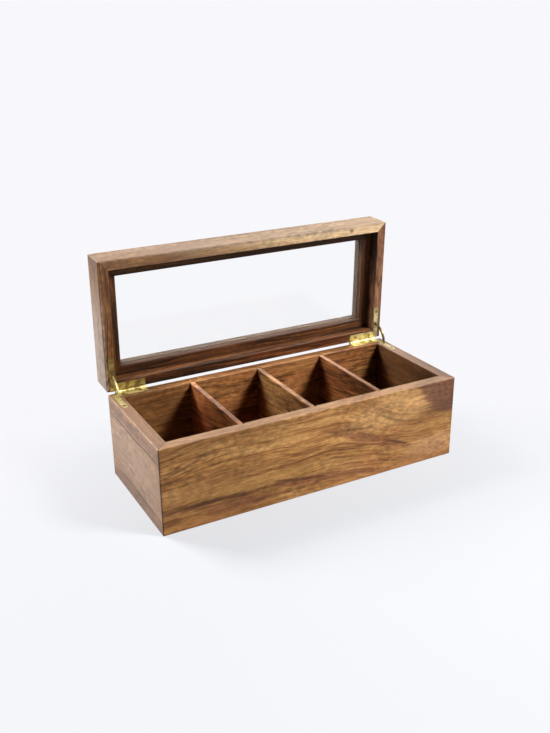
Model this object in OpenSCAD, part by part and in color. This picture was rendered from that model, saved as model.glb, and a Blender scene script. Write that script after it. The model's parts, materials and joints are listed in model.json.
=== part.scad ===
// Tea bag organizer: a mitred hardwood box with four compartments under a
// framed glass lid that opens on two brass stay hinges.
// Millimetres. X runs along the box, +Y points to the hinges, +Z is up.
// The origin is the centre of the box on the table. The lid stands open.

/* [Box] */
// Length of the box, end to end
box_l = 320; // [240:1:420]
// Depth of the box, front to back
box_d = 132; // [110:1:180]
// Height of the box without its lid
box_h = 86; // [70:1:120]
// Thickness of the four side boards
board_t = 12; // [10:0.5:16]
// Radius of the eased long edges of the boards
edge_r = 1; // [0.4:0.1:1.6]
// Radius of the four upright corners
corner_r = 1.6; // [0.8:0.1:3]

/* [Bottom panel] */
// Thickness of the bottom panel, which lies flush in a rebate
bottom_t = 5; // [3:0.5:8]
// Width of the rebate along the bottom of each board
rebate_w = 6; // [3:0.5:8]

/* [Dividers] */
// Thickness of a divider
divider_t = 5; // [3:0.5:8]
// How far a divider's top stays below the rim
divider_drop = 0.5; // [0:0.1:6]
// Depth of the slot that holds each end of a divider
dado_deep = 2.5; // [1.5:0.5:4]

/* [Lid frame] */
// Height of the lid frame
lid_h = 29; // [26:0.5:40]
// Width of the lid's rim
lid_wall = 10; // [9.5:0.5:12]
// Width of the frame round the window, seen from above
lid_face = 20; // [16:0.5:30]
// Closed gap between the box's rim and the lid's rim
lid_gap = 0.5; // [0.4:0.1:1]
// Angle at which the stays stop the lid
open_angle = 88; // [80:1:95]

/* [Glazing] */
// Thickness of the glass
glass_t = 2; // [2:0.5:4]
// Thickness of the beads that hold the glass
bead_t = 6; // [4:0.5:8]
// Depth of the lid's recess, from its rim to the beads
recess_deep = 12.5; // [9:0.5:14]

/* [Hinge leaves] */
// Thickness of a leaf
leaf_t = 1.5; // [1:0.1:2]
// Length of a leaf along the back rim, from its outer corner
leaf_l = 36; // [30:1:50]
// Width of a leaf's back arm
leaf_w = 8; // [7:0.5:9]
// Length of a leaf's side arm, from the back face
arm_l = 36; // [34:1:44]
// Width of a leaf's side arm
arm_w = 5; // [4.6:0.2:6]
// Distance of the side arm's middle from the end face
arm_inset = 6.2; // [6:0.1:6.6]

/* [Hinge barrel] */
// Outer radius of the knuckles
knuckle_r = 2.2; // [1.9:0.1:2.6]
// Radius of the hinge pin
pin_r = 1.1; // [0.8:0.05:1.3]
// Distance of the pin's axis behind the back face
pin_setback = 1.35; // [0.8:0.05:1.8]

/* [Stay arms] */
// Radius of the stay arm's curve, about the hinge pin
stay_r = 17.5; // [16:0.5:20]
// Width of the arm
stay_w = 2.6; // [2:0.1:3.2]
// Thickness of the arm
stay_t = 1.4; // [1:0.1:1.8]
// How far the arm's heads stand out on each side
head_out = 1; // [0.8:0.1:1.4]
// Length of a head along the arm
head_l = 2.4; // [1.8:0.1:3]

/* [Screws] */
// Radius of a screw's head
head_r = 2; // [1.7:0.1:2.2]
// Radius of a screw's shank
shank_r = 1; // [0.8:0.05:1.2]
// Length of a screw
screw_l = 9; // [7:0.5:12]

/* [Hidden] */
$fn = 48;

BOX_WOOD = [0.58, 0.40, 0.24];
END_WOOD = [0.52, 0.38, 0.27];
LID_WOOD = [0.48, 0.32, 0.21];
INNER_WOOD = [0.45, 0.29, 0.17];
BRASS = [0.83, 0.68, 0.34];
PANE = [0.85, 0.92, 0.93, 0.35];

arc_steps = 6;              // flats in each eased edge
over = 1;                   // how far a cut runs past the face that it opens
glue_gap = 0.1;             // side clearance of a seated wooden piece
seat_gap = 0.1;             // side clearance of a leaf in its recess
pane_gap = 0.5;             // clearance round the glass
pin_gap = 0.04;             // running clearance of the pin, on the radius
knuckle_gap = 0.15;         // gap beside each knuckle
barrel_gap = 0.35;          // clearance round the barrel, on the radius
slot_gap = 0.35;            // clearance of the arm in its slot
stop_gap = 0.3;             // gap between a head and its leaf when the lid is open
mortise_gap = 0.8;          // room round the arm inside the wood
screw_gap = 0.03;           // clearance of a screw in the leaf and the wood

// Inside of the box
inner_l = box_l - 2 * board_t;
inner_d = box_d - 2 * board_t;
floor_z = bottom_t;
compartments = 4;
cell_l = (inner_l - (compartments - 1) * divider_t) / compartments;

// Lid heights, with the lid closed
lid_z = box_h + lid_gap;
pane_z = lid_z + recess_deep + bead_t;
face_z = pane_z + glass_t;

// Hinge line
axis_y = box_d / 2 + pin_setback;
axis_z = box_h + lid_gap / 2;
leaf_drop = lid_gap / 2;
arm_x = box_l / 2 - arm_inset;
leaf_x1 = arm_x + arm_w / 2;
leaf_x0 = leaf_x1 - leaf_l;
barrel_x0 = leaf_x0;
barrel_x1 = arm_x - arm_w / 2;
knuckles = 5;
knuckle_l = (barrel_x1 - barrel_x0) / knuckles;
pin_end = 0.5;

// Stay arm: angles are measured about the pin, from straight ahead upwards
head_r0 = stay_r - stay_w / 2 - head_out;
head_r1 = stay_r + stay_w / 2 + head_out;
stop_a = asin((leaf_drop + leaf_t + stop_gap) / head_r0);
end_a = stop_a + head_l / stay_r * 180 / PI;
stowed_a = open_angle / 2 + end_a;
mortise_deep = head_r1 * sin(stowed_a) + mortise_gap;
mortise_y0 = head_r1 + mortise_gap;
mortise_y1 = head_r0 * cos(stowed_a) - mortise_gap;

// Screws: two in the back arm and one near the end of the side arm
screw_in = leaf_w / 2 + 0.2;
screw_end = 7;
screw_pitch = 18;
arm_screw_end = 5;
screw_at = [
    [leaf_x0 + screw_end, -pin_setback - screw_in],
    [leaf_x0 + screw_end + screw_pitch, -pin_setback - screw_in],
    [arm_x, -pin_setback - arm_l + arm_screw_end]
];
cone_l = head_r - shank_r;
point_l = 2;
point_r = 0.2;
slot_w = 0.6;
slot_deep = 0.5;

function unit(v) = v / norm(v);
// Outline with its right-angled corners rounded by the radii in rs
function eased(pts, rs) = [
    for (i = [0 : len(pts) - 1])
        let (
            n = len(pts),
            p = pts[i],
            u = unit(pts[(i + n - 1) % n] - p),
            v = unit(pts[(i + 1) % n] - p),
            c = p + rs[i] * (u + v)
        )
        for (k = [0 : rs[i] > 0 ? arc_steps : 0])
            let (a = 90 * k / arc_steps)
            rs[i] > 0 ? c - rs[i] * (v * cos(a) + u * sin(a)) : p
];
function square_outline(l) = [for (c = [[-1, -1], [1, -1], [1, 1], [-1, 1]]) c * l / 2];

// One side of a mitred frame. Its outer face lies on y = 0 and it reaches inwards along +Y.
// The profile is drawn in Y and Z, width is the frame's widest reach inwards and round_r
// rounds the frame's upright corners.
module mitred_side(length, width, profile, height, round_r) {
    intersection() {
        translate([-length / 2, 0, 0])
            rotate([90, 0, 90])
                linear_extrude(length)
                    polygon(profile);
        linear_extrude(height)
            intersection() {
                polygon([
                    [-length / 2, 0], [length / 2, 0],
                    [length / 2 - width, width], [width - length / 2, width]
                ]);
                translate([0, length / 2])
                    polygon(eased(square_outline(length), [for (i = [0 : 3]) round_r]));
            }
    }
}

// Puts a side of a frame of length l and depth d on the front, back, left or right
module on_front(d) {
    translate([0, -d / 2, 0])
        children();
}
module on_back(d) {
    mirror([0, 1, 0])
        on_front(d)
            children();
}
module on_left(l) {
    translate([-l / 2, 0, 0])
        rotate([0, 0, -90])
            children();
}
module on_right(l) {
    mirror([1, 0, 0])
        on_left(l)
            children();
}
module both_sides() {
    children();
    mirror([1, 0, 0])
        children();
}
module at_hinge() {
    translate([0, axis_y, axis_z])
        children();
}
// Turns a lid piece, drawn with the lid closed, to where it stands with the lid open
module lid_open() {
    at_hinge()
        rotate([-open_angle, 0, 0])
            translate([0, -axis_y, -axis_z])
                children();
}

// Centre of the divider that has number i, counted from the left
function divider_x(i) = -inner_l / 2 + i * (cell_l + divider_t) - divider_t / 2;

// Box side boards, before the hinges are let in
module box_board(length) {
    difference() {
        mitred_side(
            length, board_t,
            eased([[0, 0], [board_t, 0], [board_t, box_h], [0, box_h]], [edge_r, 0, edge_r, edge_r]),
            box_h, corner_r
        );
        translate([-length / 2, board_t - rebate_w, -over])
            cube([length, rebate_w + over, bottom_t + over]);
    }
}
module divider_slots() {
    for (i = [1 : compartments - 1])
        translate([divider_x(i) - divider_t / 2 - glue_gap, board_t - dado_deep, floor_z])
            cube([divider_t + 2 * glue_gap, dado_deep + over, box_h]);
}

// Leaf outline in plan, from the pin's axis, for the right-hand hinge
module leaf_outline(grow) {
    translate([leaf_x0 - grow, -pin_setback - leaf_w - grow])
        square([leaf_l + 2 * grow, leaf_w + grow]);
    translate([arm_x - arm_w / 2 - grow, -pin_setback - arm_l + arm_w / 2])
        square([arm_w + 2 * grow, arm_l - arm_w / 2]);
    translate([arm_x, -pin_setback - arm_l + arm_w / 2])
        circle(arm_w / 2 + grow);
}
module along_pin(r, x0, x1) {
    translate([x0, 0, 0])
        rotate([0, 90, 0])
            cylinder(r = r, h = x1 - x0);
}
module knuckle_span(i, r, gap) {
    along_pin(r, barrel_x0 + i * knuckle_l + gap, barrel_x0 + (i + 1) * knuckle_l - gap);
}

// What the hinge needs from the wood below it: recess, barrel notch, mortise and pilot holes
module hinge_housing() {
    translate([0, 0, -leaf_drop - leaf_t])
        linear_extrude(leaf_t + over)
            leaf_outline(seat_gap);
    translate([leaf_x0 - seat_gap, -pin_setback - over, -leaf_drop - leaf_t])
        cube([leaf_l + 2 * seat_gap, 2 * over, leaf_t + over]);
    along_pin(knuckle_r + barrel_gap, barrel_x0 - pin_end - seat_gap, barrel_x1 + pin_end + seat_gap);
    translate([arm_x - stay_t / 2 - mortise_gap / 2, -mortise_y0, -mortise_deep])
        cube([stay_t + mortise_gap, mortise_y0 - mortise_y1, mortise_deep]);
    for (s = screw_at)
        translate([s[0], s[1], -leaf_drop])
            screw_form(screw_gap);
}

// Countersunk wood screw with its head's top on z = 0
module screw_form(grow) {
    translate([0, 0, -cone_l - grow])
        cylinder(r1 = shank_r + grow, r2 = head_r + grow, h = cone_l + grow);
    translate([0, 0, point_l - screw_l - grow])
        cylinder(r = shank_r + grow, h = screw_l - point_l);
    translate([0, 0, -screw_l - grow])
        cylinder(r1 = point_r, r2 = shank_r + grow, h = point_l);
}
module slotted_screw() {
    difference() {
        screw_form(0);
        translate([-head_r, -slot_w / 2, -slot_deep])
            cube([2 * head_r, slot_w, slot_deep + over]);
    }
}

// Leaf of the right-hand hinge, lying under the pin's axis. The knuckles of one leaf have
// even numbers and those of the other have odd ones.
module leaf(parity) {
    difference() {
        union() {
            translate([0, 0, -leaf_drop - leaf_t])
                linear_extrude(leaf_t)
                    leaf_outline(0);
            for (i = [parity : 2 : knuckles - 1]) {
                knuckle_span(i, knuckle_r, knuckle_gap);
                translate([barrel_x0 + i * knuckle_l + knuckle_gap, -pin_setback - over, -leaf_drop - leaf_t])
                    cube([knuckle_l - 2 * knuckle_gap, pin_setback + over, leaf_t]);
            }
        }
        for (i = [1 - parity : 2 : knuckles - 1])
            knuckle_span(i, knuckle_r + barrel_gap, -knuckle_gap);
        along_pin(pin_r + pin_gap, barrel_x0 - over, barrel_x1 + over);
        translate([
            arm_x - stay_t / 2 - slot_gap,
            -stay_r - stay_w / 2 - slot_gap,
            -leaf_drop - leaf_t - over
        ])
            cube([stay_t + 2 * slot_gap, stay_w + 2 * slot_gap, leaf_t + 2 * over]);
        for (s = screw_at)
            translate([s[0], s[1], -leaf_drop])
                screw_form(screw_gap);
    }
}
module hinge_pin() {
    chamfer = pin_end / 2;
    along_pin(pin_r, barrel_x0 - chamfer, barrel_x1 + chamfer);
    translate([barrel_x1 + chamfer, 0, 0])
        rotate([0, 90, 0])
            cylinder(r1 = pin_r, r2 = pin_r - chamfer, h = chamfer);
    translate([barrel_x0 - chamfer, 0, 0])
        rotate([0, -90, 0])
            cylinder(r1 = pin_r, r2 = pin_r - chamfer, h = chamfer);
}

// Curved bar about the pin, from angle a0 to a1 and from radius r0 to r1
module curved_bar(r0, r1, a0, a1) {
    translate([arm_x, 0, 0])
        rotate([90, 0, -90])
            rotate([0, 0, a0])
                rotate_extrude(angle = a1 - a0, $fn = 96)
                    translate([r0, -stay_t / 2])
                        square([r1 - r0, stay_t]);
}
module stay_arm() {
    curved_bar(stay_r - stay_w / 2, stay_r + stay_w / 2, -end_a, open_angle + end_a);
    curved_bar(head_r0, head_r1, -end_a, -stop_a);
    curved_bar(head_r0, head_r1, open_angle + stop_a, open_angle + end_a);
}

// Box
module front_board() {
    color(BOX_WOOD)
        on_front(box_d)
            difference() {
                box_board(box_l);
                divider_slots();
            }
}
module back_board() {
    color(BOX_WOOD)
        difference() {
            on_back(box_d)
                difference() {
                    box_board(box_l);
                    divider_slots();
                }
            at_hinge()
                both_sides()
                    hinge_housing();
        }
}
module right_end_board() {
    color(END_WOOD)
        difference() {
            on_right(box_l)
                box_board(box_d);
            at_hinge()
                hinge_housing();
        }
}
module left_end_board() {
    mirror([1, 0, 0])
        right_end_board();
}
module bottom_panel() {
    reach = rebate_w - glue_gap;
    color(INNER_WOOD)
        translate([-inner_l / 2 - reach, -inner_d / 2 - reach, 0])
            cube([inner_l + 2 * reach, inner_d + 2 * reach, bottom_t]);
}
module divider(i) {
    length = inner_d + 2 * (dado_deep - glue_gap);
    height = box_h - divider_drop - floor_z;
    ease = min(edge_r, divider_t / 4);
    color(INNER_WOOD)
        translate([divider_x(i) - divider_t / 2, length / 2, floor_z])
            rotate([90, 0, 0])
                linear_extrude(length)
                    polygon(eased(
                        [[0, 0], [divider_t, 0], [divider_t, height], [0, height]],
                        [0, 0, ease, ease]
                    ));
}

// Lid, drawn closed and then opened
module lid_side(length) {
    translate([0, 0, lid_z])
        mitred_side(
            length, lid_face,
            eased(
                [
                    [0, 0], [lid_wall, 0], [lid_wall, face_z - lid_z],
                    [lid_face, face_z - lid_z], [lid_face, lid_h], [0, lid_h]
                ],
                [edge_r, edge_r / 2, 0, 0, edge_r, edge_r]
            ),
            lid_h, corner_r
        );
}
module lid_hinge_housing() {
    at_hinge()
        mirror([0, 0, 1])
            hinge_housing();
}
module lid_front_rail() {
    color(LID_WOOD)
        lid_open()
            on_front(box_d)
                lid_side(box_l);
}
module lid_back_rail() {
    color(LID_WOOD)
        lid_open()
            difference() {
                on_back(box_d)
                    lid_side(box_l);
                both_sides()
                    lid_hinge_housing();
            }
}
module lid_right_stile() {
    color(LID_WOOD)
        lid_open()
            difference() {
                on_right(box_l)
                    lid_side(box_d);
                lid_hinge_housing();
            }
}
module lid_left_stile() {
    mirror([1, 0, 0])
        lid_right_stile();
}
module glass_pane() {
    pane_l = box_l - 2 * (lid_wall + pane_gap);
    pane_d = box_d - 2 * (lid_wall + pane_gap);
    color(PANE)
        lid_open()
            translate([-pane_l / 2, -pane_d / 2, pane_z])
                cube([pane_l, pane_d, glass_t]);
}

// Beads lie on the glass and their inner edges line up with the window
bead_out = lid_wall + glue_gap;
bead_w = lid_face - bead_out;
module bead(length) {
    translate([0, 0, lid_z + recess_deep])
        mitred_side(
            length, bead_w,
            eased([[0, 0], [bead_w, 0], [bead_w, bead_t], [0, bead_t]], [0, edge_r, 0, 0]),
            bead_t, 0
        );
}
module front_bead() {
    color(LID_WOOD)
        lid_open()
            on_front(box_d - 2 * bead_out)
                bead(box_l - 2 * bead_out);
}
module back_bead() {
    color(LID_WOOD)
        lid_open()
            on_back(box_d - 2 * bead_out)
                bead(box_l - 2 * bead_out);
}
module left_bead() {
    color(LID_WOOD)
        lid_open()
            on_left(box_l - 2 * bead_out)
                bead(box_d - 2 * bead_out);
}
module right_bead() {
    mirror([1, 0, 0])
        left_bead();
}

// Hinges
module right_box_leaf() {
    color(BRASS)
        at_hinge()
            leaf(0);
}
module left_box_leaf() {
    mirror([1, 0, 0])
        right_box_leaf();
}
module right_lid_leaf() {
    color(BRASS)
        lid_open()
            at_hinge()
                mirror([0, 0, 1])
                    leaf(1);
}
module left_lid_leaf() {
    mirror([1, 0, 0])
        right_lid_leaf();
}
module right_hinge_pin() {
    color(BRASS)
        at_hinge()
            hinge_pin();
}
module left_hinge_pin() {
    mirror([1, 0, 0])
        right_hinge_pin();
}
module right_stay_arm() {
    color(BRASS)
        at_hinge()
            stay_arm();
}
module left_stay_arm() {
    mirror([1, 0, 0])
        right_stay_arm();
}
module leaf_screws() {
    both_sides()
        for (s = screw_at)
            translate([s[0], s[1], -leaf_drop])
                slotted_screw();
}
module box_leaf_screws() {
    color(BRASS)
        at_hinge()
            leaf_screws();
}
module lid_leaf_screws() {
    color(BRASS)
        lid_open()
            at_hinge()
                mirror([0, 0, 1])
                    leaf_screws();
}

front_board();
back_board();
left_end_board();
right_end_board();
bottom_panel();
divider(1);  // left_divider
divider(2);  // middle_divider
divider(3);  // right_divider
left_box_leaf();
right_box_leaf();
left_hinge_pin();
right_hinge_pin();
box_leaf_screws();
lid_front_rail();
lid_back_rail();
lid_left_stile();
lid_right_stile();
glass_pane();
front_bead();
back_bead();
left_bead();
right_bead();
left_lid_leaf();
right_lid_leaf();
lid_leaf_screws();
left_stay_arm();
right_stay_arm();
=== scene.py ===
# %% [markdown]
# # A hardwood tea box with a glass lid
# The box comes as a packed model: every board, bead, hinge leaf and screw is
# already a solid in its true place. This lesson dresses those solids. It sets
# the camera where the photographer stood, lights a pale studio, and then works
# through the finishes one after another: oiled hardwood, brass and glass.
# Loading comes first, because all the places below are read from the model.

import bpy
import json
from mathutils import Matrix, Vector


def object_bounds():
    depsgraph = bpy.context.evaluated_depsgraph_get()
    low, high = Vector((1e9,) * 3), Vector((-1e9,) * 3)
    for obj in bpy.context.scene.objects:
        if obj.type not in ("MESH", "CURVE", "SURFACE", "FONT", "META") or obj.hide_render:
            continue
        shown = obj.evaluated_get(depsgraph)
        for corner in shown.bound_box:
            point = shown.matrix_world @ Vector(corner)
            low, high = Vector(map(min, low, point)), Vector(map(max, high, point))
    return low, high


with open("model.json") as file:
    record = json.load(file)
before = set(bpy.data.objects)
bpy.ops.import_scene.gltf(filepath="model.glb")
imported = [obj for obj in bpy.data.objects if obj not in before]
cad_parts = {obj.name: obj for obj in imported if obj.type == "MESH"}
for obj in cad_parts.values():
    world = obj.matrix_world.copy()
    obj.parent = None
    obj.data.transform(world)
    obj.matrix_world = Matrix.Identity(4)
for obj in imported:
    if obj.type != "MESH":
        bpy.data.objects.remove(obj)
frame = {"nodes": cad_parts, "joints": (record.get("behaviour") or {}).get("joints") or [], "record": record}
cad_low, cad_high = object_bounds()
print("pieces:", len(frame["nodes"]), "size in mm:", [round(1000 * s) for s in cad_high - cad_low])

# %% Other modules
import json
import math

import bpy
from mathutils import Matrix, Vector

MM = 0.001
print("Blender", bpy.app.version_string)

# %% [markdown]
# ## Camera
# The photograph looks down on the box from its front left corner. A camera is
# easiest to set by three things that can be read off a picture: the compass
# angle and height from which it looks, the point it looks at, and how far away
# it is. The lens follows from the picture's long side: the focal length in
# pixels, times the sensor's width, over the number of pixels on that side.

# %% Camera direction
LOOK_AZIMUTH = -28.28
LOOK_ELEVATION = 22.18
LOOK_ROLL = -0.58


def look_axes(azimuth, elevation, roll):
    """Right, up and back of a camera that looks at the origin from those angles, in degrees."""
    a, e, r = (math.radians(v) for v in (azimuth, elevation, roll))
    back = Vector((math.sin(a) * math.cos(e), -math.cos(a) * math.cos(e), math.sin(e)))
    right = Vector((0, 0, 1)).cross(back).normalized()
    up = back.cross(right)
    return right * math.cos(r) + up * math.sin(r), up * math.cos(r) - right * math.sin(r), back


right, up, back = look_axes(LOOK_AZIMUTH, LOOK_ELEVATION, LOOK_ROLL)
print("the camera looks along:", [round(-v, 3) for v in back])

# %% Camera
LOOK_DISTANCE = 845.4 * MM
LOOK_AT = Vector((-10.8, 0, 109.1)) * MM
PHOTO_LONG_SIDE_PX = 733
PHOTO_FOCAL_PX = 868.24
SENSOR_MM = 36

camera_data = bpy.data.cameras.new("photo_camera")
camera_data.sensor_width = SENSOR_MM
camera_data.lens = PHOTO_FOCAL_PX * SENSOR_MM / PHOTO_LONG_SIDE_PX
camera = bpy.data.objects.new("photo_camera", camera_data)
camera_turn = Matrix((right, up, back)).transposed().to_4x4()
camera.matrix_world = Matrix.Translation(LOOK_AT + back * LOOK_DISTANCE) @ camera_turn
bpy.context.scene.collection.objects.link(camera)
bpy.context.scene.camera = camera
bpy.context.scene.view_settings.view_transform = "Standard"
print("lens in mm:", round(camera_data.lens, 2))
print("camera at:", [round(v, 3) for v in camera.location])

# %% [markdown]
# ## A recipe for a finish
# A material in Blender is a tree of small nodes. Written out one by one they
# are hard to read, so a recipe keeps the tree and gives each kind of node a
# short verb. Every verb returns an output that the next one can take, and
# plain numbers and colours are taken too. The first verbs do arithmetic, and
# those after them make patterns and colours.


# %% Colours and mixed shaders
WHITE = (1, 1, 1, 1)


def srgb(red, green, blue):
    """A colour given on a screen's scale, 0 to 255, made linear by the sRGB curve."""
    def linear(v):
        v /= 255
        return v / 12.92 if v <= 0.04045 else ((v + 0.055) / 1.055) ** 2.4
    return (linear(red), linear(green), linear(blue), 1.0)


def choose_shader(tree, share, usual, other, end):
    """Ends a tree with a mix of two shader nodes: all usual at share 0, all other at share 1."""
    chooser = tree.nodes.new("ShaderNodeMixShader")
    for number, output in enumerate((share, usual.outputs[0], other.outputs[0])):
        tree.links.new(output, chooser.inputs[number])
    tree.links.new(chooser.outputs[0], end.inputs["Surface"])


print("white is", WHITE, "and mid grey", [round(v, 3) for v in srgb(128, 128, 128)])


# %% Arithmetic in a recipe
class Recipe:
    """A material's tree of nodes. Each method adds a node and returns its output."""

    def __init__(self, name):
        self.material = bpy.data.materials.new(name)
        self.material.use_nodes = True
        self.tree = self.material.node_tree
        self.shader = self.tree.nodes["Principled BSDF"]
        self.end = self.tree.nodes["Material Output"]

    def join(self, value, socket):
        """Joins an output to a socket, or writes a plain value on it."""
        if isinstance(value, bpy.types.NodeSocket):
            self.tree.links.new(value, socket)
        else:
            socket.default_value = value

    def give(self, sockets):
        """Sets sockets of the material's main shader, given by their names."""
        for name, value in sockets.items():
            self.join(value, self.shader.inputs[name])

    def calc(self, operation, *values):
        """Arithmetic on numbers."""
        node = self.tree.nodes.new("ShaderNodeMath")
        node.operation = operation
        for value, socket in zip(values, node.inputs):
            self.join(value, socket)
        return node.outputs[0]

    def reckon(self, operation, *values):
        """Arithmetic on vectors."""
        node = self.tree.nodes.new("ShaderNodeVectorMath")
        node.operation = operation
        for value, socket in zip(values, node.inputs):
            self.join(value, socket)
        return node.outputs["Value" if operation == "LENGTH" else "Vector"]

    def split(self, vector):
        """The three numbers of a vector."""
        node = self.tree.nodes.new("ShaderNodeSeparateXYZ")
        self.join(vector, node.inputs[0])
        return node.outputs

    def gather(self, x, y, z):
        """A vector, or a colour, from three numbers."""
        node = self.tree.nodes.new("ShaderNodeCombineXYZ")
        for value, socket in zip((x, y, z), node.inputs):
            self.join(value, socket)
        return node.outputs[0]


print("verbs for arithmetic:", [verb for verb in vars(Recipe) if not verb.startswith("_")])


# %% Patterns and colours in a recipe
FIRST_COLOUR_SOCKET = 6


class Finish(Recipe):
    """One material, with verbs for patterns and colours as well."""

    def place(self, kind="Object"):
        """The point being shaded, in metres, or the surface's direction there."""
        return self.tree.nodes.new("ShaderNodeTexCoord").outputs[kind]

    def noise(self, vector, lumps, detail=2.0, roughness=0.5, colour=False):
        """Cloudy noise with as many lumps in a metre, along each axis, as lumps says."""
        node = self.tree.nodes.new("ShaderNodeTexNoise")
        self.join(self.reckon("MULTIPLY", vector, lumps), node.inputs["Vector"])
        node.inputs["Scale"].default_value = 1.0
        node.inputs["Detail"].default_value = detail
        node.inputs["Roughness"].default_value = roughness
        return node.outputs["Color" if colour else "Fac"]

    def fade(self, value, start, end, low=0.0, high=1.0):
        """Goes smoothly from low at start to high at end, and stays there."""
        node = self.tree.nodes.new("ShaderNodeMapRange")
        node.interpolation_type = "SMOOTHSTEP"
        for number, socket in zip((value, start, end, low, high), node.inputs):
            self.join(number, socket)
        return node.outputs[0]

    def paint(self, under, over, share, how="MIX"):
        """Lays the colour over on the colour under, as far as share says."""
        node = self.tree.nodes.new("ShaderNodeMix")
        node.data_type = "RGBA"
        node.blend_type = how
        self.join(share, node.inputs[0])
        self.join(under, node.inputs[FIRST_COLOUR_SOCKET])
        self.join(over, node.inputs[FIRST_COLOUR_SOCKET + 1])
        return node.outputs[2]

    def shade(self, colour, number):
        """Makes a colour that many times as bright."""
        return self.paint(colour, self.gather(number, number, number), 1.0, "MULTIPLY")

    def ramp(self, value, stops):
        """Colours along a scale: each stop is a place from 0 to 1 and a colour."""
        node = self.tree.nodes.new("ShaderNodeValToRGB")
        self.join(value, node.inputs[0])
        scale = node.color_ramp.elements
        while len(scale) < len(stops):
            scale.new(0.5)
        for mark, (place, colour) in zip(scale, stops):
            mark.position = place
            mark.color = colour
        return node.outputs["Color"]

    def bump(self, height, depth):
        """Relief of that depth in metres."""
        node = self.tree.nodes.new("ShaderNodeBump")
        node.inputs["Distance"].default_value = depth
        self.join(height, node.inputs["Height"])
        return node.outputs["Normal"]

    def dress(self, piece):
        """Puts the finish on a piece of the model."""
        piece.data.materials.clear()
        piece.data.materials.append(self.material)


print("verbs for colour:", [verb for verb in vars(Finish) if not verb.startswith("_")])

# %% [markdown]
# ## Studio
# The photograph was taken on a white sweep: the floor runs into the background
# with no line. Metal, glass and the oiled wood mirror that white room, so rays
# that bounce off or pass through them see the same pale colour as the camera
# does. All other rays find the room nearly dark, which leaves the light to the
# lamps.

# %% Room
BACKDROP = srgb(248, 248, 252)
ROOM_LIGHT = 0.008


def sees_backdrop(tree):
    """1 for rays from the camera, off gloss or through glass, which see the room as pale."""
    path = tree.nodes.new("ShaderNodeLightPath")
    total = path.outputs["Is Camera Ray"]
    for name in ("Is Glossy Ray", "Is Transmission Ray"):
        node = tree.nodes.new("ShaderNodeMath")
        node.operation = "MAXIMUM"
        tree.links.new(total, node.inputs[0])
        tree.links.new(path.outputs[name], node.inputs[1])
        total = node.outputs[0]
    return total


world = bpy.data.worlds.new("studio_room")
bpy.context.scene.world = world
world.use_nodes = True
room = world.node_tree
seen = room.nodes["Background"]
seen.inputs["Color"].default_value = BACKDROP
seen.inputs["Strength"].default_value = 1.0
ambient = room.nodes.new("ShaderNodeBackground")
ambient.inputs["Color"].default_value = WHITE
ambient.inputs["Strength"].default_value = ROOM_LIGHT
choose_shader(room, sees_backdrop(room), ambient, seen, room.nodes["World Output"])
print("the room lights the box with a strength of", ROOM_LIGHT)

# %% [markdown]
# ## Floor
# The floor is a matt surface that takes the soft shadows. Part of it glows in
# the backdrop colour for the rays that see the backdrop, which keeps the
# shadows as faint as on a washed-out white sweep. The glow grows with the
# distance from the shaded spot in front of the box, until the floor is the
# backdrop colour alone and no line shows where it ends.

# %% Floor
FLOOR_REACH = 4.0
FLOOR_BELOW = 0.1 * MM
FLOOR_GREY = srgb(158, 161, 164)
FLOOR_GLOW_NEAR = 0.6
FLOOR_SHADED = (-0.03, -0.12, 0)
FLOOR_FADE_FROM = 0.08
FLOOR_FADE_TO = 0.45


def floor_finish():
    """Matt grey near the box, and the plain backdrop colour further out."""
    finish = Finish("studio_floor")
    finish.give({"Base Color": FLOOR_GREY, "Roughness": 1.0, "Specular IOR Level": 0.0})
    glow = finish.tree.nodes.new("ShaderNodeEmission")
    glow.inputs["Color"].default_value = BACKDROP
    reach = finish.reckon("LENGTH", finish.reckon("SUBTRACT", finish.place(), FLOOR_SHADED))
    share = finish.fade(reach, FLOOR_FADE_FROM, FLOOR_FADE_TO, low=FLOOR_GLOW_NEAR)
    share = finish.calc("MULTIPLY", share, sees_backdrop(finish.tree))
    choose_shader(finish.tree, share, finish.shader, glow, finish.end)
    return finish


bpy.ops.mesh.primitive_plane_add(size=2 * FLOOR_REACH, location=(0, 0, -FLOOR_BELOW))
floor = bpy.context.object
floor.name = "studio_floor"
floor_finish().dress(floor)
print("floor:", 2 * FLOOR_REACH, "m wide")

# %% [markdown]
# ## Lamps
# The shading inside the box tells where the lamps were. The back wall of each
# compartment is lit and its right corner is dark, so one lamp hangs high at the
# front right. The dividers' left faces are lit as well, but not near the back
# wall, so the other lamp hangs high at the back left. Both are large squares
# near the box, as these give shadows with a soft edge.

# %% Lamps
LAMPS = {
    "front_right_lamp": {"place": (0.72, -0.8, 1.05), "size": 0.36, "power": 45.8},
    "back_left_lamp": {"place": (-0.78, 1.02, 1.2), "size": 0.6, "power": 58.3},
}


def soft_lamp(name, place, size, power):
    """A square lamp that points at the middle of the box."""
    data = bpy.data.lights.new(name, "AREA")
    data.size = size
    data.energy = power
    lamp = bpy.data.objects.new(name, data)
    lamp.location = place
    lamp.rotation_mode = "QUATERNION"
    lamp.rotation_quaternion = (Vector(place) - LOOK_AT).to_track_quat("Z", "Y")
    bpy.context.scene.collection.objects.link(lamp)


for name, lamp in LAMPS.items():
    soft_lamp(name, **lamp)
print("lamps:", len(LAMPS), "with", sum(lamp["power"] for lamp in LAMPS.values()), "W in all")

# %% [markdown]
# ## Where the grain runs
# Wood looks right when its figure is solid: the same rings run through a
# board's face, its edge and its eased corner. So the pattern is not laid on
# the surface. Each point of a board is turned into three lengths instead: u
# along the grain, and v and w across it, which are also where it lies in the
# board's cross-section. The lid stands open in the model, so its pieces are
# first turned shut about the hinge pin, and boards that run from front to back
# are turned a quarter.

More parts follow.
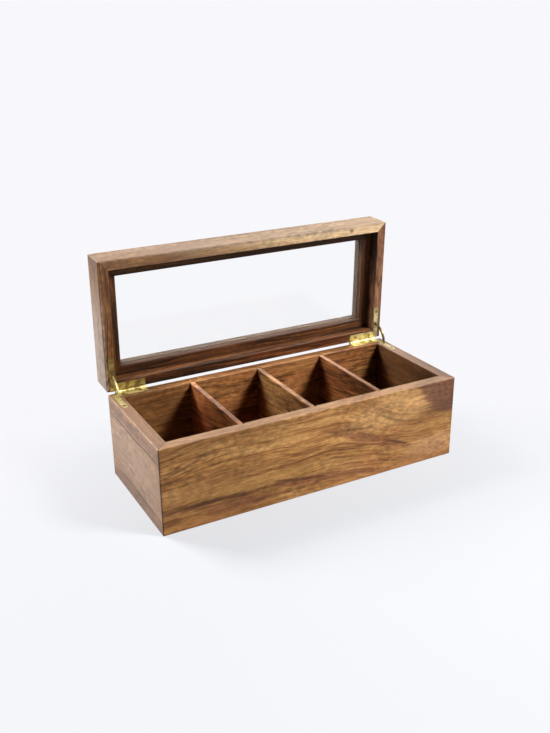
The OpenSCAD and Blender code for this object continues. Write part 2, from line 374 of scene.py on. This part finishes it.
# %% Grain directions
hinge = next(j for j in frame["joints"] if j["name"] == "lid_hinge")
PIN = Vector(hinge["pos_m"])
LID_OPEN = math.radians(88)
LID_PIECES = set(frame["record"]["behaviour"]["bodies"]["lid"])
CROSSWAYS = {
    "left_end_board", "right_end_board", "left_divider", "middle_divider", "right_divider",
    "lid_left_stile", "lid_right_stile", "left_bead", "right_bead",
}


def grain_turn(name):
    """Matrix that turns a point of that piece to where u runs along its grain."""
    turn = Matrix.Identity(4)
    if name in LID_PIECES:
        shut = Matrix.Rotation(LID_OPEN, 4, "X")
        turn = Matrix.Translation(PIN) @ shut @ Matrix.Translation(-PIN)
    if name in CROSSWAYS:
        turn = Matrix.Rotation(-math.pi / 2, 4, "Z") @ turn
    return turn


def grain_place(finish, name):
    """The point being shaded, in metres along and across the piece's grain."""
    turn = grain_turn(name)
    mapping = finish.tree.nodes.new("ShaderNodeMapping")
    mapping.inputs["Location"].default_value = turn.to_translation()
    mapping.inputs["Rotation"].default_value = turn.to_euler("XYZ")
    finish.join(finish.place(), mapping.inputs["Vector"])
    return mapping.outputs["Vector"]


def grain_normal(finish, name):
    """The surface's own direction, turned the same way."""
    mapping = finish.tree.nodes.new("ShaderNodeMapping")
    mapping.vector_type = "NORMAL"
    mapping.inputs["Rotation"].default_value = grain_turn(name).to_euler("XYZ")
    finish.join(finish.place("Normal"), mapping.inputs["Vector"])
    return mapping.outputs["Vector"]


print("pieces whose grain runs front to back:", len(CROSSWAYS))

# %% [markdown]
# ## Oiled hardwood
# The box is cut from a streaky tropical hardwood: golden to mid brown, with
# fine wavy lines, darker veins, a cross-ripple that shimmers in patches, and
# pores that look like short dark scratches. A photograph of a board would be
# quick, but would not run round the corners. The recipe below grows the board
# instead. It starts with the tree: the distance to its heart gives the rings,
# slow noise makes them wander, and a bend lifts or drops them along the board,
# as a nearby branch does.

# %% Rings
SEED_STEP = (1.37, 0.73, 0.51)
SWAY_LUMPS = (11, 18, 18)


def bend(along, height, lift, low_share=0.0):
    """A bend of the grain, in mm: from where to where along the board and up it, and how far."""
    return {"along": along, "height": height, "lift": lift, "low_share": low_share}


def bend_lift(finish, u, w, shape):
    """How far a bend of that shape lifts the grain lines, in metres."""
    start, end = (length * MM for length in shape["along"])
    bottom, top = (length * MM for length in shape["height"])
    along = finish.fade(u, start, end, high=shape["lift"] * MM)
    return finish.calc("MULTIPLY", along, finish.fade(w, bottom, top, low=shape["low_share"]))


def wandering_place(finish, here, shifted, wander):
    """The point, moved across the grain by up to so many mm."""
    sway = finish.noise(shifted, SWAY_LUMPS, detail=3.0, roughness=0.45, colour=True)
    sway = finish.reckon("SUBTRACT", sway, (0.5, 0.5, 0.5))
    return finish.reckon("MULTIPLY_ADD", sway, (0.0, 2 * wander * MM, 2 * wander * MM), here)


def ring_place(finish, bent, pith, seed, bends, quiet, fine):
    """The point as a place along the grain and a ring, which is its distance from the heart."""
    u, v, w = finish.split(bent)
    lifted = w
    for shape in bends:
        lifted = finish.calc("SUBTRACT", lifted, bend_lift(finish, u, w, shape))
    from_heart_v = finish.calc("SUBTRACT", v, pith[0] * MM)
    from_heart_w = finish.calc("SUBTRACT", lifted, pith[1] * MM)
    ring = finish.reckon("LENGTH", finish.gather(0.0, from_heart_v, from_heart_w))
    along = finish.calc("MULTIPLY_ADD", u, quiet, seed)
    return finish.gather(along, finish.calc("MULTIPLY", ring, fine), seed)


print("one more on the seed moves the noise, in m, by", SEED_STEP)

# %% [markdown]
# ## Figure and colour
# Three layers of noise over the rings make the figure: broad bands, lines and
# fine threads. The figure picks a tone between dark and light. Some places are
# redder, thin dark veins run along the rings, and wide clouds make one stretch
# of board lighter than the next.

# %% Tones and figure
BAND_LUMPS = (7, 75, 2)
LINE_LUMPS = (22, 380, 2)
THREAD_LUMPS = (70, 900, 2)
BAND_SHARE = 0.3
LINE_SHARE = 0.45
THREAD_SHARE = 0.25


def wood_tones(light, middle, dark, red):
    """The four colours of one sort of wood."""
    return {"light": srgb(*light), "middle": srgb(*middle), "dark": srgb(*dark), "red": srgb(*red)}


GOLDEN = wood_tones((190, 144, 89), (157, 110, 61), (104, 65, 34), (144, 90, 58))


def grain_figure(finish, rings):
    """The lines of the grain, and the figure that they make with the bands and threads."""
    bands = finish.noise(rings, BAND_LUMPS)
    lines = finish.noise(rings, LINE_LUMPS, detail=3.0, roughness=0.6)
    threads = finish.noise(rings, THREAD_LUMPS, roughness=0.6)
    figure = finish.calc("MULTIPLY", bands, BAND_SHARE)
    figure = finish.calc("MULTIPLY_ADD", lines, LINE_SHARE, figure)
    return lines, finish.calc("MULTIPLY_ADD", threads, THREAD_SHARE, figure)


print("shares of the figure:", BAND_SHARE + LINE_SHARE + THREAD_SHARE)

# %% Heartwood
REDDER_LUMPS = (8, 30, 30)
VEIN_LUMPS = (7, 110, 5)
VEIN_PLACE_LUMPS = (14, 40, 40)
VEIN_DEPTH = 0.85
CLOUD_LUMPS = (6, 24, 24)
MOTTLE_DARK, MOTTLE_LIGHT = 0.76, 1.24


def heartwood(finish, rings, shifted, figure, ends, tones, contrast, redness):
    """The wood's own colour, with a figure that goes from dark to light between two ends."""
    stops = [(ends[0], tones["dark"]), (0.5, tones["middle"]), (ends[1], tones["light"])]
    colour = finish.ramp(figure, stops)
    redder = finish.noise(shifted, REDDER_LUMPS)
    redder = finish.fade(redder, start=0.5, end=0.68, high=redness)
    colour = finish.paint(colour, tones["red"], redder)
    from_vein = finish.calc("SUBTRACT", finish.noise(rings, VEIN_LUMPS, roughness=0.45), 0.5)
    from_vein = finish.calc("ABSOLUTE", from_vein)
    vein_here = finish.fade(finish.noise(shifted, VEIN_PLACE_LUMPS), start=0.4, end=0.55)
    veins = finish.fade(from_vein, start=0.03, end=0.006, high=VEIN_DEPTH * contrast)
    colour = finish.paint(colour, tones["dark"], finish.calc("MULTIPLY", veins, vein_here))
    clouds = finish.noise(shifted, CLOUD_LUMPS)
    clouds = finish.fade(clouds, start=0.3, end=0.7, low=MOTTLE_DARK, high=MOTTLE_LIGHT)
    return finish.shade(colour, clouds)


print("lumps of cloud in a metre:", CLOUD_LUMPS)

# %% [markdown]
# ## Marks on one board
# Patches add what is particular to one board, such as a dark corner or a knot.
# Each is a soft ellipsoid in the wood, so it also shows on the board's edge,
# and the grain lines break up its outline. Where two mitred boards meet, a
# hair of dark glue shows. A dark line runs round the edge of the window, partly
# dull sealer and partly a painted shade on the faces beside the glass.

# %% Patches and lines
HALF_DEPTH = 66 * MM
# At a mitre, a point lies this much further from the box's middle along it than across it.
MITRE_RUN = (cad_high.x - cad_low.x) / 2 - HALF_DEPTH
GLUE_LINE = {"start": 0.7 * MM, "end": 0.2 * MM, "high": 0.75}
SEALER_AND_SHADE_LINE = {"start": 0.9 * MM, "end": 0.4 * MM, "high": 0.8}


def patch(colour, at, reach, tilt=0, strength=0.8, soft=0.5, ragged=0.9):
    """A patch of another colour: its middle and half sizes in mm, and its tilt in degrees."""
    return {"colour": colour, "at": at, "reach": reach, "tilt": tilt,
            "strength": strength, "soft": soft, "ragged": ragged}


def patch_share(finish, place, lines, mark):
    """How much of a patch lies at a point: up to its strength in its middle, and 0 outside."""
    mapping = finish.tree.nodes.new("ShaderNodeMapping")
    mapping.vector_type = "TEXTURE"
    mapping.inputs["Location"].default_value = Vector(mark["at"]) * MM
    mapping.inputs["Rotation"].default_value = (0, math.radians(mark["tilt"]), 0)
    mapping.inputs["Scale"].default_value = Vector(mark["reach"]) * MM
    finish.join(place, mapping.inputs["Vector"])
    ragged, soft = mark["ragged"], mark["soft"]
    from_middle = finish.reckon("LENGTH", mapping.outputs[0])
    edge = finish.calc("MULTIPLY_ADD", lines, ragged, from_middle)
    outside = 1 + (ragged + soft) / 2
    inside = 1 + (ragged - soft) / 2
    return finish.fade(edge, outside, inside, high=mark["strength"])


def mitre_line(finish, here):
    """A hair of dark glue, at 45 degrees through each corner of the box."""
    u, v, _ = finish.split(finish.reckon("ABSOLUTE", here))
    along = finish.calc("MAXIMUM", u, v)
    across = finish.calc("MINIMUM", u, v)
    depth = finish.calc("SUBTRACT", finish.calc("SUBTRACT", along, across), MITRE_RUN)
    return finish.fade(finish.calc("ABSOLUTE", depth), **GLUE_LINE)


def window_line(finish, here, window):
    """A thin dark line along the edge of the window, given by its two half sizes in mm: partly sealer and
    partly painted shade on the edge faces.
    """
    u, v, _ = finish.split(finish.reckon("ABSOLUTE", here))
    beyond_u = finish.calc("SUBTRACT", u, window[0] * MM)
    beyond_v = finish.calc("SUBTRACT", v, window[1] * MM)
    return finish.fade(finish.calc("MAXIMUM", beyond_u, beyond_v), **SEALER_AND_SHADE_LINE)


print("along less across at a mitre, in mm:", round(MITRE_RUN / MM))

# %% [markdown]
# ## The surface
# The last layer is what the plane and the cloth left. A cross-ripple shimmers
# in patches. Fibres and pores are noise that is long along the grain and short
# across it. Eased edges are painted lighter, partly as rubbed wear and partly as
# a painted highlight where a rounded edge catches the light. The rims take a
# tone of their own, partly the dry tone of sawn wood and partly a painted sheen
# of the top faces, and oil deepens every colour.

# %% Surface
RIPPLE_LUMPS = (160, 230, 230)
RIPPLE_PLACE_LUMPS = (14, 22, 22)
FIBRE_LUMPS = (150, 1000, 1000)
PORE_LUMPS = (130, 2200, 2200)
RUB_LUMPS = (60, 60, 60)
PORE = srgb(54, 32, 20)
PORE_DEPTH = 0.6
PORE_ROUGH = 0.2
PORE_RELIEF = 0.05 * MM
FIBRE_DARK, FIBRE_LIGHT = 0.8, 1.2
FIBRE_ROUGH = 0.16
FIBRE_HEIGHT = 0.5


def rippled(finish, colour, shifted):
    """The colour with a cross-ripple, strong in some places and faint in others."""
    ripple = finish.noise(shifted, RIPPLE_LUMPS)
    ripple = finish.fade(ripple, start=0.3, end=0.7, low=MOTTLE_DARK, high=MOTTLE_LIGHT)
    ripple_here = finish.noise(shifted, RIPPLE_PLACE_LUMPS, detail=1.0)
    ripple_here = finish.fade(ripple_here, start=0.4, end=0.6, low=0.25)
    shimmer = finish.paint(WHITE, finish.gather(ripple, ripple, ripple), ripple_here)
    return finish.paint(colour, shimmer, 1.0, "MULTIPLY")


def rubbed_and_highlight_share(finish, shifted, x, y, z):
    """How far an edge is painted lighter, partly as wear and partly as a painted highlight: there the
    surface looks along none of the three axes.
    """
    flat = finish.calc("MAXIMUM", finish.calc("MAXIMUM", x, y), z)
    eased = finish.fade(flat, start=0.99, end=0.8)
    uneven = finish.fade(finish.noise(shifted, RUB_LUMPS), start=0.4, end=0.65, high=0.3)
    return finish.calc("MULTIPLY", eased, uneven)


def wood_grip(finish, fibres, pores, rough):
    """Roughness and relief: fibres stand up a little and pores are rough pits."""
    rough = finish.calc("MULTIPLY_ADD", pores, PORE_ROUGH, rough)
    rough = finish.calc("MULTIPLY_ADD", fibres, FIBRE_ROUGH, rough)
    relief = finish.calc("SUBTRACT", finish.calc("MULTIPLY", fibres, FIBRE_HEIGHT), pores)
    finish.give({"Roughness": rough, "Normal": finish.bump(relief, PORE_RELIEF)})


print("pores in a metre, along and across:", PORE_LUMPS[:2])

# %% [markdown]
# ## The whole wood recipe
# One function puts the layers together for one piece. pith is where the tree's
# heart lies in the piece's cross-section, in mm, and seed picks its place in
# the plank. wander is how far the rings stray, in mm. A lower quiet makes the
# lines longer, and a higher fine makes them thinner. The rim share says how far
# the rims take their tone, which is partly their own colour and partly a painted
# sheen of the top faces, and oil is the share of the brightness that the oil
# leaves.
# The pale room lies on the wood as a veil: sheen is its strength, more on a
# waxed face than on an oiled one, and on a rough dry face no lamp glares.

# %% Wood recipe
FIGURE_SPAN = 0.125
FIGURE_DARK, FIGURE_LIGHT = 0.76, 1.2
OIL_DEPTH = 0.62
SHEEN = 0.15
WAXED = 0.4
HALF_WAXED = 0.3
SATIN = 0.34
DRY = 0.52
# The rim tones are partly the rims' own colour and partly a painted sheen of the top faces.
RIM_TAN_AND_SHEEN = srgb(180, 144, 118)
SEALER_AND_SHADE = srgb(64, 58, 50)


def hardwood(name, pith, tones=GOLDEN, seed=0.0, wander=5.0, contrast=1.0, redness=0.5,
             quiet=1.0, fine=1.0, bends=(), patches=(), rim_and_sheen=0.0, rim_and_sheen_tone=RIM_TAN_AND_SHEEN,
             mitred=False, window=None, sealer_and_shade=SEALER_AND_SHADE, oil=OIL_DEPTH, sheen=SHEEN,
             rough=SATIN):
    """Grows the finish of one wooden piece and puts it on."""
    finish = Finish(name + "_wood")
    here = grain_place(finish, name)
    shifted = finish.reckon("ADD", here, [seed * step for step in SEED_STEP])
    bent = wandering_place(finish, here, shifted, wander)
    rings = ring_place(finish, bent, pith, seed, bends, quiet, fine)
    lines, figure = grain_figure(finish, rings)
    ends = (0.5 - FIGURE_SPAN / contrast, 0.5 + FIGURE_SPAN / contrast)
    colour = heartwood(finish, rings, shifted, figure, ends, tones, contrast, redness)
    light = finish.fade(figure, *ends, low=FIGURE_DARK, high=FIGURE_LIGHT)
    for mark in patches:
        share = patch_share(finish, bent, lines, mark)
        colour = finish.paint(colour, finish.shade(mark["colour"], light), share)

    colour = rippled(finish, colour, shifted)
    fibres = finish.noise(shifted, FIBRE_LUMPS, roughness=0.6)
    pores = finish.fade(finish.noise(shifted, PORE_LUMPS, detail=1.0), start=0.64, end=0.72)
    colour = finish.paint(colour, PORE, finish.calc("MULTIPLY", pores, PORE_DEPTH))
    x, y, z = finish.split(finish.reckon("ABSOLUTE", grain_normal(finish, name)))
    # Partly painted highlight: eased edges are painted lighter, as wear and for the light that rounded edges
    # catch.
    colour = finish.paint(colour, tones["light"], rubbed_and_highlight_share(finish, shifted, x, y, z))
    # Partly painted sheen: the rims take a greyer tone, which also stands in for the glare on the top faces.
    if rim_and_sheen:
        rim_and_sheen_share = finish.fade(z, start=0.7, end=0.98, high=rim_and_sheen)
        colour = finish.paint(colour, finish.shade(rim_and_sheen_tone, light), rim_and_sheen_share)
    oiled = finish.fade(fibres, 0.25, 0.75, low=FIBRE_DARK * oil, high=FIBRE_LIGHT * oil)
    colour = finish.shade(colour, oiled)
    if mitred:
        colour = finish.paint(colour, PORE, mitre_line(finish, here))
    # Partly painted shade: a dark line on the faces at the window's edge, as sealer and for the shade there.
    if window:
        colour = finish.paint(colour, sealer_and_shade, window_line(finish, here, window))
    finish.give({"Base Color": colour, "Specular IOR Level": sheen})
    wood_grip(finish, fibres, pores, rough)
    finish.dress(frame["nodes"][name])
    print(name + ": seed", seed, "bends", len(bends), "patches", len(patches))


print("share of the brightness that the oil leaves:", OIL_DEPTH)

# %% [markdown]
# ## The front board
# Each board came from its own place in the plank. The front board is the one
# that everybody sees, so the marks in the photograph are set out on it in
# millimetres: grain that drops away to the right, a dark corner at the top
# right, a feathered brown band under the drop, and dark streaks near the bottom.

# %% Front board
DARK_CORNER = srgb(104, 68, 50)
RED_BAND = srgb(128, 80, 52)
DARK_STREAK = srgb(82, 50, 30)
OCHRE = srgb(176, 131, 74)
PALE_TAN = srgb(188, 144, 104)
CURLY_GOLD = srgb(188, 146, 96)
RIM_FRONT_AND_SHEEN = srgb(153, 123, 99)
FRONT_FACE = -66
MARK_DEPTH = 50


def face_mark(face, colour, along, height, half_length, half_height, **look):
    """A patch on a board's outer face, deep enough to go through the board."""
    reach = (half_length, MARK_DEPTH, half_height)
    return patch(colour, (along, face, height), reach, **look)


def front_mark(*where, **look):
    """A patch on the front board's outer face."""
    return face_mark(FRONT_FACE, *where, **look)


hardwood("front_board", pith=(134, -200), seed=1.0, contrast=0.95, bends=[
    bend(along=(-90, -160), height=(10, 70), lift=-7),
    bend(along=(10, 112), height=(8, 55), lift=-36, low_share=0.35),
], patches=[
    front_mark(OCHRE, -80, 30, 92, 6, strength=0.5, soft=1.0),
    front_mark(CURLY_GOLD, 88, 66, 56, 17, tilt=-6, strength=0.5, soft=0.9, ragged=0.5),
    front_mark(PALE_TAN, 134, 16, 34, 10, strength=0.5, soft=0.9),
    front_mark(RED_BAND, -85, 12, 42, 6, strength=0.6, soft=0.8),
    front_mark(RED_BAND, 62, 40, 50, 5, tilt=23, strength=0.65),
    front_mark(RED_BAND, 12, 13, 56, 4.5, tilt=8),
    front_mark(DARK_STREAK, -138, 63, 25, 1.5, tilt=-17, strength=0.5),
    front_mark(DARK_STREAK, -110, 70, 14, 1.5, strength=0.55),
    front_mark(DARK_STREAK, -114, 20.5, 50, 1.8, strength=0.55),
    front_mark(DARK_STREAK, -122, 19.5, 17, 1.8, strength=0.6),
    front_mark(DARK_STREAK, -20, 20, 30, 1.6, tilt=12, strength=0.6),
    front_mark(DARK_STREAK, 36, 57, 24, 1.3, tilt=7, strength=0.5),
    front_mark(DARK_STREAK, 92, 29, 15, 1.4, tilt=22, strength=0.7),
    front_mark(DARK_CORNER, 160, 86, 42, 36, strength=0.88, soft=0.25, ragged=0.6),
], rim_and_sheen=0.7, rim_and_sheen_tone=RIM_FRONT_AND_SHEEN, mitred=True, oil=0.72)

# %% [markdown]
# ## The end boards
# The left end is seen in the photograph: it is quieter than the front, nearly
# bare in its middle, with two thin dark streaks. Its face is painted paler and
# greyer with two tan patches, a painted sheen of the pale room on that side. It
# is waxed, so the room's pale light also shows on it. Of the right end only the
# inside is seen, a dark red brown, and its inner face is painted darker still,
# a painted shade for the shadow inside the box.

# %% End boards
FACE_TAN_AND_SHEEN = srgb(181, 141, 110)
SHEEN_TAN = srgb(196, 158, 128)
RED_PAINTED_SHADE = srgb(88, 54, 30)
RIM_LEFT_AND_SHEEN = srgb(119, 88, 64)
RIM_WORN_AND_SHEEN = srgb(131, 104, 87)
LEFT_FACE = 160
UMBER = wood_tones((154, 110, 64), (116, 76, 42), (66, 40, 22), (116, 68, 40))


def left_mark(*where, **look):
    """A patch on the left end's outer face."""
    return face_mark(LEFT_FACE, *where, **look)


hardwood("left_end_board", pith=(360, -160), seed=3.0, contrast=0.75, wander=3.0, patches=[
    # Painted sheen: the next two patches make the face paler and greyer, for the pale room's glare on it.
    left_mark(FACE_TAN_AND_SHEEN, 0, 50, 200, 90, strength=0.75, ragged=0.2),
    left_mark(SHEEN_TAN, 20, 48, 70, 24, soft=1.0),
    left_mark(RED_BAND, 0, 79, 200, 5, strength=0.4),
    left_mark(FACE_TAN_AND_SHEEN, -10, 84, 70, 1.4, strength=0.6),
    left_mark(RED_BAND, 0, 3, 200, 8, strength=0.5),
    left_mark(DARK_STREAK, 0, 70.5, 64, 1.6, strength=0.6),
    left_mark(DARK_STREAK, -10, 13, 60, 1.6, strength=0.65),
], rim_and_sheen=0.9, rim_and_sheen_tone=RIM_LEFT_AND_SHEEN, mitred=True, oil=0.72, sheen=WAXED)
hardwood("right_end_board", pith=(-360, -140), tones=UMBER, seed=4.0, patches=[
    # Painted shade: the inner face is painted darker, for the shadow inside the box.
    patch(RED_PAINTED_SHADE, (0, -147, 40), (200, 5, 90), soft=0.3, ragged=0.1),
], rim_and_sheen=0.9, rim_and_sheen_tone=RIM_WORN_AND_SHEEN, mitred=True)

# %% [markdown]
# ## Back, dividers and bottom
# The back board is a little browner than the front, and darker at its left end.
# Along its top it is painted darker, a painted shade of the open lid behind it.
# The three dividers were cut from different offcuts, one auburn, one hazel and
# one russet, with strong lines. The bottom is painted dark, a painted shade for
# the depths of the compartments.

# %% Inner boards
PAINTED_SHADE_TONES = wood_tones((66, 45, 30), (47, 31, 21), (32, 21, 13), (52, 31, 21))
HAZEL = wood_tones((182, 131, 77), (147, 100, 57), (80, 49, 26), (144, 86, 50))
AUBURN = wood_tones((196, 126, 74), (154, 91, 50), (84, 45, 24), (160, 82, 46))
RUSSET = wood_tones((152, 94, 52), (108, 61, 31), (56, 29, 14), (122, 58, 30))
DIVIDERS = {
    "left_divider": (AUBURN, 35.0),
    "middle_divider": (HAZEL, 6.0),
    "right_divider": (RUSSET, 7.0),
}

hardwood("back_board", pith=(-120, -220), tones=HAZEL, seed=2.0, patches=[
    patch(UMBER["middle"], (-150, 60, 50), (80, 50, 70)),
    # Painted shade: the top of the back board is painted darker, for the shade of the open lid.
    patch(UMBER["middle"], (0, 60, 88), (400, 60, 4), strength=0.5, soft=0.4, ragged=0.3),
], mitred=True, oil=0.66)
for name, (tones, seed) in DIVIDERS.items():
    hardwood(name, pith=(60, -180), tones=tones, seed=seed, contrast=1.5, bends=[
        bend(along=(-50, 50), height=(-10, 10), lift=-12),
    ], rim_and_sheen=0.4)
# Painted shade: the bottom takes very dark tones, so the depths of the compartments read dark.
hardwood("bottom_panel", pith=(30, -160), tones=PAINTED_SHADE_TONES, seed=9.0)

# %% [markdown]
# ## The lid frame
# The lid is made of four mitred members. Its front rail is the odd one out: it
# has a strip of pale sapwood that takes over towards the right end, and a small
# round knot there. Its outer face is painted greyer, partly a weathered tone and
# partly a painted sheen for the glare it shows at a low angle. The pale room
# also lies on it as a veil, but it is too dry to glare under a lamp. The left
# stile's outer face is painted paler and greyer too, a painted sheen. The stiles
# and the back rail are plain brown heartwood, and the right stile's recess wall
# is painted near black, a painted shade. Patches on the lid are set out as if it
# were shut.

# %% Lid frame
BROWN = wood_tones((126, 83, 40), (90, 54, 25), (52, 30, 13), (102, 52, 26))
STREAKY = wood_tones((128, 80, 43), (91, 53, 28), (42, 24, 12), (112, 58, 32))
REDDISH = wood_tones((160, 114, 82), (122, 80, 56), (82, 48, 31), (118, 66, 46))
SAPWOOD = srgb(216, 184, 140)
SHEEN_GREY = srgb(190, 170, 155)
WEATHERED_AND_SHEEN = srgb(138, 115, 96)
RECESS_PAINTED_SHADE = srgb(32, 19, 12)
KNOT = srgb(112, 84, 54)
ALONG = (140, 46)
ACROSS = (46, 140)

hardwood("lid_front_rail", pith=(200, 250), seed=11.0, patches=[
    patch(BROWN["middle"], (-130, -61, 86), (150, 40, 60), strength=0.6, soft=1.2),
    patch(SAPWOOD, (190, -72, 86), (215, 22, 60), strength=0.9, soft=0.9),
    # Partly painted sheen: the outer face is painted greyer, for the glare it shows at a low angle.
    patch(WEATHERED_AND_SHEEN, (40, -70, 110), (230, 7, 60), strength=0.82, soft=0.6, ragged=0.4),
    patch(KNOT, (116.5, -62, 86), (2.4, 2.4, 6), soft=0.9, ragged=0.3),
], mitred=True, window=ALONG, oil=0.69, sheen=WAXED, rough=DRY)
hardwood("lid_back_rail", pith=(300, -130), tones=STREAKY, seed=12.0, wander=4.0, contrast=1.6,
         quiet=0.4, fine=1.5, mitred=True, window=ALONG, oil=0.78)
hardwood("lid_left_stile", pith=(340, 250), tones=BROWN, seed=13.0, contrast=1.2, patches=[
    # Painted sheen: these two patches make the outer face paler and greyer, for the glare on it.
    patch(PALE_TAN, (30, 166, 104), (110, 8, 60), strength=0.75, soft=0.8, ragged=0.4),
    patch(SHEEN_GREY, (60, 166, 104), (90, 8, 60), strength=0.75, soft=0.8, ragged=0.4),
], mitred=True, window=ACROSS, oil=0.73, sheen=HALF_WAXED)
hardwood("lid_right_stile", pith=(-340, 250), tones=REDDISH, seed=14.0, patches=[
    # Painted shade: the recess wall beside the bead is painted near black, for the shadow in the recess.
    patch(RECESS_PAINTED_SHADE, (0, -149, 86), (200, 1.8, 60), soft=0.3, ragged=0.1),
], mitred=True, window=ACROSS, oil=0.67)

# %% [markdown]
# ## The beads
# Four thin beads hold the glass from inside. They are mitred too, and cut so
# that long fine lines run along them.

# %% Beads
BEADS = {
    "front_bead": (BROWN, ALONG, 15.0),
    "back_bead": (STREAKY, ALONG, 12.0),
    "left_bead": (BROWN, ACROSS, 17.0),
    "right_bead": (BROWN, ACROSS, 18.0),
}

# The beads' faces at the window take their darkest tone, a painted shade.
for name, (tones, window, seed) in BEADS.items():
    hardwood(name, pith=(300, -130), tones=tones, seed=seed, wander=4.0, contrast=1.25,
             quiet=0.4, fine=1.7, mitred=True, window=window, sealer_and_shade=tones["dark"])

# %% [markdown]
# ## Brass
# The two quadrant hinges are polished sheet brass, lightly handled: fine
# scratches in all directions, and a slightly duller bloom in patches. The left
# lid leaf and the screws have browned a little. The right stay arm is a much
# darker copy of the brass, a painted shade for the dark side it shows.

# %% Brass
BLOOM_LUMPS = (120, 120, 120)
BLOOM_ROUGH = 0.3
POLISH_ROUGH = 0.34
SCRATCH_LUMPS = (300, 4000, 4000)
SCRATCH_RELIEF = 0.01 * MM


def brass_finish(name, bright, dull):
    """Brass that goes from bright to dull in patches."""
    finish = Finish(name)
    place = finish.place()
    bloom = finish.noise(place, BLOOM_LUMPS, detail=3.0)
    scratches = finish.noise(place, SCRATCH_LUMPS)
    colour = finish.paint(bright, dull, finish.fade(bloom, start=0.4, end=0.62))
    rough = finish.calc("MULTIPLY_ADD", bloom, BLOOM_ROUGH, POLISH_ROUGH)
    relief = finish.bump(scratches, SCRATCH_RELIEF)
    finish.give({"Base Color": colour, "Metallic": 1.0, "Roughness": rough, "Normal": relief})
    return finish


polished = brass_finish("polished_brass", srgb(200, 188, 140), srgb(146, 131, 86))
browned = brass_finish("browned_brass", srgb(170, 153, 94), srgb(112, 94, 52))
tarnished = brass_finish("tarnished_brass", srgb(150, 130, 78), srgb(100, 82, 48))
# Painted shade: a darker copy of the brass for the right stay arm.
painted_shade = brass_finish("painted_shade_brass", srgb(112, 94, 54), srgb(72, 58, 34))
NOT_POLISHED = {
    "left_lid_leaf": browned,
    "box_leaf_screws": tarnished,
    "lid_leaf_screws": tarnished,
    "right_stay_arm": painted_shade,
}
brass_pieces = [s["node"] for s in frame["record"]["subparts"] if s["material_slot"] == "brass"]
for name in brass_pieces:
    NOT_POLISHED.get(name, polished).dress(frame["nodes"][name])
print("brass pieces:", len(brass_pieces))

# %% [markdown]
# ## Glass
# A plain 2 mm pane. Glass that is only seen needs no trick, but lamps have to
# shine through it too, or the lid would throw a solid shadow. Rays that look
# for a lamp therefore meet a clear surface, and all others meet real glass.

# %% Glass
GLASS_WHITE = srgb(253, 254, 254)
GLASS_BEND = 1.3
GLASS_SHADOW = (0.92, 0.95, 0.94, 1)
SMEAR_LUMPS = (30, 60, 60)
SMEAR_ROUGH = 0.04


def glass_finish():
    """Clear glass with faint smears, which lets the lamps through."""
    finish = Finish("window_glass")
    smears = finish.noise(finish.place(), SMEAR_LUMPS, detail=3.0)
    smears = finish.fade(smears, start=0.55, end=0.8, high=SMEAR_ROUGH)
    finish.give({"Base Color": GLASS_WHITE, "Transmission Weight": 1.0})
    finish.give({"IOR": GLASS_BEND, "Roughness": smears})
    clear = finish.tree.nodes.new("ShaderNodeBsdfTransparent")
    clear.inputs["Color"].default_value = GLASS_SHADOW
    to_lamp = finish.tree.nodes.new("ShaderNodeLightPath").outputs["Is Shadow Ray"]
    choose_shader(finish.tree, to_lamp, finish.shader, clear, finish.end)
    return finish


glass_finish().dress(frame["nodes"]["glass_pane"])
print("glass: 1 pane that bends light by", GLASS_BEND)

# %% [markdown]
